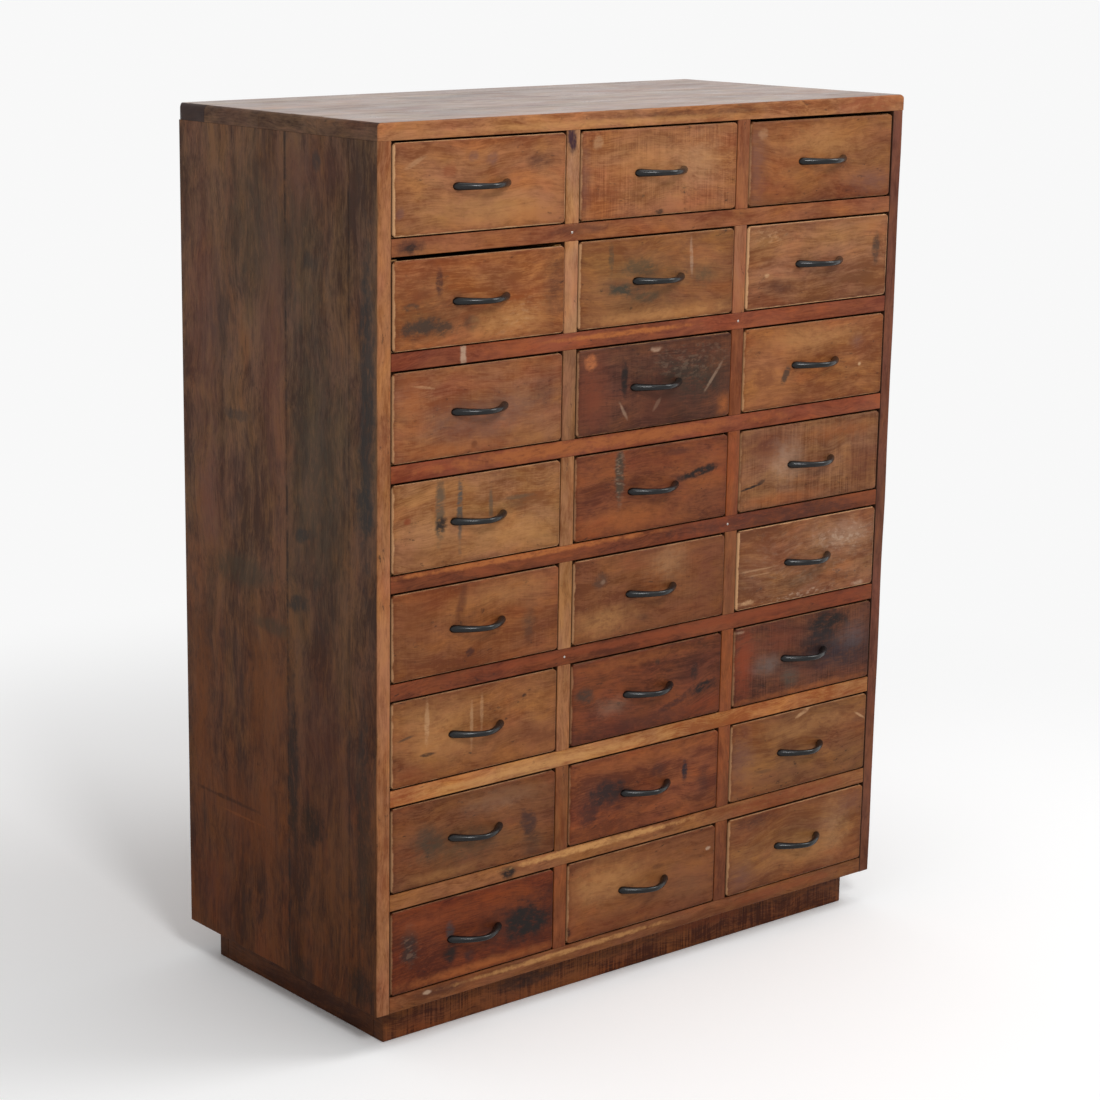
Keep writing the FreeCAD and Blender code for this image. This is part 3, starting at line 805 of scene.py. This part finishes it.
# The woods of the rails from the top one down, and of the posts of each column
RAIL_WOODS = [
    dict(tone="post red", marks=[stain(-448, 0, 26, 11, PLUM, 0.6, broken=0.3), stain(-446, -2, 12, 6, BLACK, 0.6),
                                 stain(-150, 4, 60, 8, PLUM, 0.35)]),
    dict(tone="mahogany", marks=[stain(-60, 3, 130, 4, ORANGE, 0.7), stain(-355, 0, 5, 20, CHALK, 0.6)]),
    dict(tone="mahogany", marks=[stain(-120, 2, 300, 10, ORANGE, 0.45)]),
    dict(tone="rust red", marks=[stain(-250, 9, 240, 5, ORANGE, 0.7), stain(240, 0, 200, 14, PLUM, 0.45)]),
    dict(tone="rust red", marks=[stain(0, 4, 420, 6, RUST, 0.5)]),
    dict(tone="golden", figure=0.8, blotch=0.1, marks=[stain(-200, -2, 240, 5, HONEY, 0.5)]),
    dict(tone="orange tan", marks=[stain(-262, 1, 16, 9, BLACK, 0.75), stain(-90, 6, 170, 5, HONEY, 0.7),
                                   stain(300, 0, 150, 12, RUST, 0.4)]),
]
POST_WOODS = {
    1: ("straw", "straw", "grey tan", "yellow tan", "yellow tan", "warm tan", "mid brown", "brown red"),
    2: ("post red", "reddish tan", "brown red", "brown red", "mid brown", "brown red", "brown red", "red brown"),
}


def front_rails():
    """The rails between the rows, each from a different old board."""
    mesh = bmesh.new()
    materials = []
    for row, look in enumerate(RAIL_WOODS, start=1):
        low, high = rail_height(row)
        materials.append(frame_wood(f"rail_wood_{row}", (0, FACE, (low + high) / 2), 0.0, grain="x",
                                    seed=40 + row * 2.3, **look))
        rounded_board(mesh, (-INNER, FACE, low), (INNER, RAILS_REAR, high), row - 1, RAIL_EDGE, RAIL_STEP)
    made_piece("worn_front_rails", mesh, materials, "carcass", "front_rails")


def divider_posts():
    """The short posts between the columns, cut from different old boards."""
    mesh = bmesh.new()
    tones = sorted(set(POST_WOODS[1] + POST_WOODS[2]))
    materials = []
    for number, tone in enumerate(tones):
        marks = [stain(-166, 1262, 9, 20, (58, 34, 40), 0.9, broken=0.3)] if tone == "straw" else []
        materials.append(frame_wood("post_wood_" + tone.replace(" ", "_"), (0, 0, 0), FACE, tone, "z",
                                    60 + number * 5.0, figure=0.7, marks=marks))
    for column, woods in POST_WOODS.items():
        left = -INNER + column * OPENING_WIDE + (column - 1) * POST
        for row, tone in enumerate(woods, start=1):
            floor = TOP_LOW.z - (row - 1) * PITCH - OPENING_HIGH
            rounded_board(mesh, (left, FACE, floor), (left + POST, POSTS_REAR, floor + OPENING_HIGH),
                          tones.index(tone), POST_EDGE, RAIL_STEP)
    made_piece("worn_divider_posts", mesh, materials, "carcass", "divider_posts")


def side_wood(name, stile_tone):
    """A dark side, stained unevenly, whose front edge, the stile, is a warmer colour."""
    shader = Shader(name)
    point = shader.place()
    slate, moss, purple, amber, soot = (46, 42, 40), (62, 54, 42), (96, 60, 50), (110, 70, 38), (34, 28, 26)
    marks = [
        haze(30, 1130, 110, 120, moss, 0.45), haze(155, 990, 30, 60, slate, 0.4),
        haze(-85, 800, 62, 190, moss, 0.5), haze(200, 1000, 40, 200, purple, 0.4),
        haze(185, 720, 30, 90, purple, 0.5), haze(20, 960, 30, 190, purple, 0.45),
        haze(-60, 1230, 90, 40, purple, 0.3),
        haze(40, 470, 46, 110, amber, 0.6), haze(215, 420, 24, 180, amber, 0.6), haze(80, 260, 100, 60, amber, 0.45),
        haze(180, 130, 50, 60, purple, 0.4), haze(-100, 430, 60, 90, purple, 0.35),
        stain(-196, 930, 16, 220, slate, 0.65), stain(-190, 780, 20, 40, slate, 0.6),
        stain(-188, 330, 16, 160, slate, 0.5), stain(-50, 720, 24, 11, slate, 0.6, turn=-12),
        stain(-34, 618, 24, 12, slate, 0.6, turn=-8),
        stain(-64, 1106, 20, 13, slate, 0.4), stain(-84, 1240, 10, 14, slate, 0.5),
        stain(-70, 300, 28, 30, soot, 0.6), stain(-22, 370, 12, 130, soot, 0.6),
        stain(-184, 90, 32, 26, soot, 0.5), stain(-40, 70, 22, 22, soot, 0.5),
        stain(110, 866, 36, 9, slate, 0.45), stain(100, 640, 80, 22, moss, 0.5), stain(30, 572, 44, 12, moss, 0.5),
        stain(150, 280, 80, 3, (58, 38, 24), 0.6), stain(110, 262, 60, 2, (124, 80, 46), 0.5),
        stain(212, 240, 3, 40, (46, 32, 24), 0.5), stain(110, 160, 3, 90, (58, 40, 28), 0.5),
    ]
    colour, roughness, height = wood(shader, point, "side", "z", 81.0, figure=0.7, blotch=0.2, marks=marks,
                                     across_axis="y", contrast=1.2)
    x, y, z = shader.split(point)
    rear_board = shader.ease(y, FACE + SIDE_SEAMS[1] - 1 * MM, FACE + SIDE_SEAMS[1] + 1 * MM, 0.0, 0.6)
    colour = shader.tint(rear_board, colour, (1.2, 1.12, 1.06))
    colour = shader.tint(shader.ease(z, 1.0, 0.08), colour, (0.74, 0.47, 0.25))
    wander = shader.noise(shader.stretched(point, (8.0, 8.0, 26.0), 4.0), 4.0, 0.7)
    for seam, strength in ((SIDE_SEAMS[0], 0.5), (SIDE_SEAMS[1], 0.75)):
        away = abs(y - (FACE + seam) + (wander - 0.5) * (5 * MM))
        dark = shader.ease(away, 5 * MM, 0.5 * MM, 0.0, strength) * shader.ease(wander, 0.38, 0.6)
        colour = shader.paint(dark, colour, (34, 27, 24))
    stile = wood(shader, point, stile_tone, "z", 85.0, figure=0.8)
    edge = shader.noise(shader.stretched(point, (60.0, 60.0, 14.0), 2.0), 3.0)
    at_front = shader.ease(y + (edge - 0.5) * (5 * MM), FACE + 3.2 * MM, FACE + 0.9 * MM)
    colour = shader.mix(at_front, colour, stile[0])
    # Painted shade: the inner face of the side and the edge beside it are painted dark brown, as the inside of the
    # carcass in shade
    inner = shader.ease(abs(x), INNER + 1.6 * MM, INNER + 0.4 * MM)
    colour = shader.paint(inner, colour, (60, 38, 27))
    return shader.finish(colour, roughness + 0.06, height, relief=0.5)


def side_panels():
    """Both sides, each three upright boards with fine seams, the outer front edge worn wavy."""
    seams = [FACE, FACE + SIDE_SEAMS[0], FACE + SIDE_SEAMS[1], REAR]
    for name, sign, tone in (("left", -1, "warm tan"), ("right", 1, "stile red")):
        mesh = bmesh.new()
        x0, x1 = sorted((sign * HALF, sign * INNER))
        for near, far in zip(seams, seams[1:]):
            level = SIDE_LOW.z, SIDE_HIGH.z
            if far == REAR:
                far -= BACK_THICK
                lip = sorted((sign * HALF, sign * (INNER + BACK_REBATE)))
                rounded_board(mesh, (lip[0], far, level[0]), (lip[1], REAR, level[1]), 0, SEAM_EDGE, WORN_STEP,
                              square=((1, 0),))
            board = rounded_board(mesh, (x0, near, level[0]), (x1, far, level[1]), 0, SEAM_EDGE, WORN_STEP,
                                  worn=(1.6 * MM, 2.8 * MM, 4.2 * MM, 6 * MM), square=((1, 1),) * (near > FACE + 0.1))
            if near == FACE:
                round_off(board, (0, 1), (sign * HALF, FACE), (sign, -1), 4 * MM, 0.7, 3.0)
        made_piece(f"worn_{name}_side", mesh, [side_wood(f"side_wood_{name}", tone)], "carcass",
                   f"{name}_side_panel")


def top_woods():
    """Two finishes of the top: its upper face with a waxed shine, and its edges, orange at the front, dark at
    the sides and nearly black at the end of the rear board."""
    shader = Shader("top_face_wood")
    point = shader.place()
    marks = [stain(-120, 130, 120, 30, SMOKE, 0.4),
             stain(260, -60, 160, 26, (150, 122, 104), 0.4),
             stain(60, 30, 200, 18, (156, 130, 112), 0.4)]
    colour, roughness, height = wood(shader, shader.flat(point), "worn top", "x", 91.0, figure=1.2, blotch=0.15,
                                     marks=marks)
    face = shader.finish(colour, roughness - 0.2, height, relief=0.25, specular=0.55)
    shader = Shader("top_edge_wood")
    point = shader.place()
    edge_marks = [stain(420, 1288, 60, 14, RUST, 0.5),
                  stain(60, 1290, 160, 5, PLUM, 0.35),
                  stain(-120, 1284, 260, 5, HONEY, 0.3)]
    front = wood(shader, point, "warm tan", "x", 94.0, figure=1.2, marks=edge_marks)
    end = wood(shader, point, "side", "y", 96.0, figure=0.8)
    x, y, z = shader.split(point)
    rear_end = shader.ease(y, REAR - TOP_REAR_BOARD - 1 * MM, REAR - TOP_REAR_BOARD + 1 * MM, 0.0, 0.85)
    end_colour = shader.paint(rear_end, end[0], (46, 34, 33))
    at_front = shader.ease(y, FACE + 3.4 * MM, FACE + 1.4 * MM)
    edge = shader.finish(shader.mix(at_front, end_colour, front[0]), front[1], front[2], relief=0.3)
    return [edge, face]


def top_panel():
    """The boards of the top, their outer edges and corners worn round."""
    mesh = bmesh.new()
    width = (REAR - FACE - TOP_REAR_BOARD) / TOP_FRONT_BOARDS
    seams = [FACE + width * board for board in range(TOP_FRONT_BOARDS + 1)] + [REAR]
    worn = [reach * MM for reach in (1.6, 2.8, 4.2, 6, 8, 10, 12)]
    low, high, ledge = TOP_LOW.z, TOP_HIGH.z, TOP_LOW.z + BACK_REBATE
    for near, far in zip(seams, seams[1:]):
        boards = [((-HALF, near, low), (HALF, far, high), worn, ())]
        if far == REAR:
            inner = REAR - BACK_THICK
            boards = [((-HALF, near, low), (HALF, inner, high), worn, ((1, 1),)),
                      ((-HALF, inner, ledge), (HALF, REAR, high), worn, ((1, 0), (2, 0)))]
            boards += [((x0, inner, low), (x1, REAR, ledge), (), ((1, 0), (2, 1)))
                       for x0, x1 in ((-HALF, -INNER - BACK_REBATE), (INNER + BACK_REBATE, HALF))]
        board = []
        for start, end, lines, square in boards:
            board += rounded_board(mesh, start, end, 0, SEAM_EDGE, WORN_STEP, lines, square)
        if near == FACE:
            round_off(board, (1, 2), (FACE, TOP_HIGH.z), (-1, 1), 3.2 * MM, 0.6, 5.0)
        for sign in (-1, 1):
            if far == REAR:
                round_off(board, (0, 1), (sign * HALF, REAR), (sign, 1), 5 * MM)
            round_off(board, (0, 2), (sign * HALF, TOP_HIGH.z), (sign, 1), 8 * MM, 0.45, 7.0 + sign)
    mesh.normal_update()
    for face in mesh.faces:
        if face.normal.z > 0.97 and face.calc_center_median().z > TOP_HIGH.z - 3 * MM:
            face.material_index = 1
    made_piece("worn_top", mesh, top_woods(), "carcass", "top_panel")


def bottom_panel():
    """The bottom, whose front edge shows as the lowest rail, scratched at its left."""
    marks = [stain(-380, 2, 50, 8, PLUM, 0.4),
             stain(-410, 4, 8, 3, CHALK, 0.6),
             stain(-150, 3, 200, 4, HONEY, 0.5),
             stain(300, 2, 130, 8, RUST, 0.4)]
    material = frame_wood("bottom_wood", (0, FACE, (BOTTOM_LOW.z + BOTTOM_HIGH.z) / 2), 0.0, "mid brown", "x", 101.0,
                          figure=1.3, marks=marks)
    mesh = bmesh.new()
    depth = (BOTTOM_HIGH.y - FACE) / BOTTOM_BOARDS
    for board in range(BOTTOM_BOARDS):
        near = FACE + depth * board
        rounded_board(mesh, (-INNER, near, BOTTOM_LOW.z), (INNER, near + depth, BOTTOM_HIGH.z), 0, RAIL_EDGE,
                      BOTTOM_STEP)
    made_piece("worn_bottom", mesh, [material], "carcass", "bottom_panel")


def plinth():
    """The plinth: rough-sawn boards, dark and red, their ends painted darker as shade."""
    shader = Shader("plinth_wood")
    point = shader.place()
    marks = [stain(-200, 28, 60, 12, BLACK, 0.5),
             stain(160, 36, 80, 8, RUST, 0.4)]
    front = wood(shader, point, "plinth", "x", 111.0, figure=0.5, saw=1.8, blotch=0.4, marks=marks)
    side = wood(shader, point, "plinth", "y", 113.0, saw=0.3, blotch=0.2)
    x, y, z = shader.split(point)
    # Painted shade: the plinth's ends, under the carcass, are painted a darker copy of their wood
    at_side = shader.ease(abs(x), PLINTH_HIGH.x - 2 * MM, PLINTH_HIGH.x - 0.5 * MM, 0.0, 0.9)
    shaded_ends = shader.paint(0.4, side[0], (36, 28, 21))
    material = shader.finish(shader.mix(at_side, front[0], shaded_ends), front[1], front[2], relief=0.6)
    mesh = bmesh.new()
    low, high = PLINTH_LOW, PLINTH_HIGH
    for near, far in ((low.y, low.y + PLINTH_BOARD), (high.y - PLINTH_BOARD, high.y)):
        rounded_board(mesh, (low.x, near, low.z), (high.x, far, high.z), 0, PLINTH_EDGE, RAIL_STEP)
    for left, right in ((low.x, low.x + PLINTH_BOARD), (high.x - PLINTH_BOARD, high.x)):
        rounded_board(mesh, (left, low.y + PLINTH_BOARD, low.z), (right, high.y - PLINTH_BOARD, high.z), 0,
                      PLINTH_EDGE, RAIL_STEP)
    made_piece("worn_plinth", mesh, [material], "carcass", "plinth")


def dress(node, material):
    """Gives a CAD node that stays its wood."""
    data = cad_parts[node].data
    data.materials.clear()
    data.materials.append(material)


inner_wood = plain_wood("inner_wood", "plain wood", "y", 121.0, figure=0.7, blotch=0.1)
back_wood = plain_wood("back_wood", "olive tan", "z", 123.0, figure=1.0, blotch=0.15)
iron = black_iron()
for node in ("back_rails", "drawer_runners", "drawer_guides", "drawer_stops"):
    dress(node, inner_wood)
dress("back_panel", back_wood)

side_panels()
top_panel()
bottom_panel()
front_rails()
divider_posts()
plinth()

bow = bow_recipe(iron)
heads = screw_recipe("round_heads", iron, 20)
for row in range(1, ROWS + 1):
    for column in range(1, COLUMNS + 1):
        drawer_piece(row, column, inner_wood)
        name = f"r{row}_c{column}"
        low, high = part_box(f"handle_{name}")
        centre = Vector(((low.x + high.x) / 2, high.y, (low.z + high.z) / 2))
        bow.grow(f"bow_handle_{name}", {"Centre": tuple(centre)}, f"drawer_{name}", [f"handle_{name}"], "black_iron")
        inside = centre.y + FRONT_THICK
        seats = [(centre.x + sign * HANDLE_SPAN / 2, inside, centre.z) for sign in (-1, 1)]
        heads.grow(f"handle_screws_{name}", {"Turn": (-math.pi / 2, 0.0, 0.0)}, f"drawer_{name}", [], "black_iron",
                   seats)

nail_points = []
for row, column, aside in NAILS:
    low, high = rail_height(row)
    x = -INNER + column * OPENING_WIDE + (column - 0.5) * POST + aside
    nail_points.append((x, FACE, (low + high) / 2))
nails = screw_recipe("nail_heads", bright_steel(), 12)
nails.grow("frame_nails", {"Turn": (math.pi / 2, 0.0, 0.0), "Head": NAIL_HEAD, "Depth": NAIL_DEPTH}, "carcass", [],
           "black_iron", nail_points)


def stage():
    """A pale floor that fades into the white of the room."""
    shader = Shader("studio_floor")
    x, y, z = shader.split(shader.place())
    far = shader.ease(shader.maths("SQRT", x * x + y * y), 1.0, 2.2)
    seen = shader.node("ShaderNodeLightPath", output="Is Camera Ray")
    white = shader.mix(seen, (0.8, 0.8, 0.8, 1.0), (1.06, 1.06, 1.06, 1.0))
    near_paper = shader.node("ShaderNodeBsdfDiffuse", None, {"Color": white})
    far_paper = shader.node("ShaderNodeEmission", None, {"Color": (*[ROOM_SHOWN] * 3, 1.0), "Strength": 1.0})
    paper = shader.node("ShaderNodeMixShader", None, {0: far, 1: near_paper, 2: far_paper})
    shader.node("ShaderNodeOutputMaterial", None, {"Surface": paper})
    data = bpy.data.meshes.new("studio_floor")
    corners = [(x * FLOOR_REACH, y * FLOOR_REACH, -0.5 * MM) for x, y in ((-1, -1), (1, -1), (1, 1), (-1, 1))]
    data.from_pydata(corners, [], [(0, 1, 2, 3)])
    data.materials.append(shader.material)
    placed("studio_floor", data)


def room_light():
    """A white room, brighter to the camera and in reflections than the light it throws."""
    world = bpy.data.worlds.new("white_room")
    bpy.context.scene.world = world
    world.use_nodes = True
    room = Tree(world.node_tree)
    camera_ray, glossy_ray, through_ray = [
        room.node("ShaderNodeLightPath", output=f"Is {ray} Ray") for ray in ("Camera", "Glossy", "Transmission")]
    seen = room.maths("MAXIMUM", room.maths("MAXIMUM", camera_ray, glossy_ray), through_ray)
    thrown = room.node("ShaderNodeBackground", None, {"Color": (1.0, 1.0, 1.0, 1.0), "Strength": ROOM_THROWN})
    shown = room.node("ShaderNodeBackground", None, {"Color": (*[ROOM_SHOWN] * 3, 1.0), "Strength": 1.0})
    both = room.node("ShaderNodeMixShader", None, {0: seen, 1: thrown, 2: shown})
    room.node("ShaderNodeOutputWorld", None, {"Surface": both})


def lamp(name, place, size, power):
    """A round lamp that points at the cabinet."""
    data = bpy.data.lights.new(name, "AREA")
    data.shape = "DISK"
    data.size = size
    data.energy = power
    made = placed(name, data)
    made.location = place
    made.rotation_euler = (LAMP_AIM - Vector(place)).to_track_quat("-Z", "Y").to_euler()


def camera():
    """The camera of the photograph."""
    data = bpy.data.cameras.new("camera")
    data.sensor_width = 36.0
    data.lens = CAMERA_LENS
    data.shift_x = CAMERA_SHIFT
    data.clip_end = 100.0
    made = placed("camera", data)
    turn, tilt, roll = CAMERA_TURN, CAMERA_TILT, CAMERA_ROLL
    ahead = Vector((math.sin(turn) * math.cos(tilt), math.cos(turn) * math.cos(tilt), -math.sin(tilt)))
    right = Vector((math.cos(turn), -math.sin(turn), 0.0))
    up = right.cross(ahead)
    rolled_right = right * math.cos(roll) + up * math.sin(roll)
    rolled_up = up * math.cos(roll) - right * math.sin(roll)
    axes = Matrix((rolled_right, rolled_up, -ahead)).transposed()
    made.matrix_world = Matrix.Translation(CAMERA_PLACE) @ axes.to_4x4()
    bpy.context.scene.camera = made


stage()
room_light()
for name, (place, size, power) in LAMPS.items():
    lamp(name, place, size, power)
camera()
bpy.context.scene.view_settings.view_transform = "Standard"
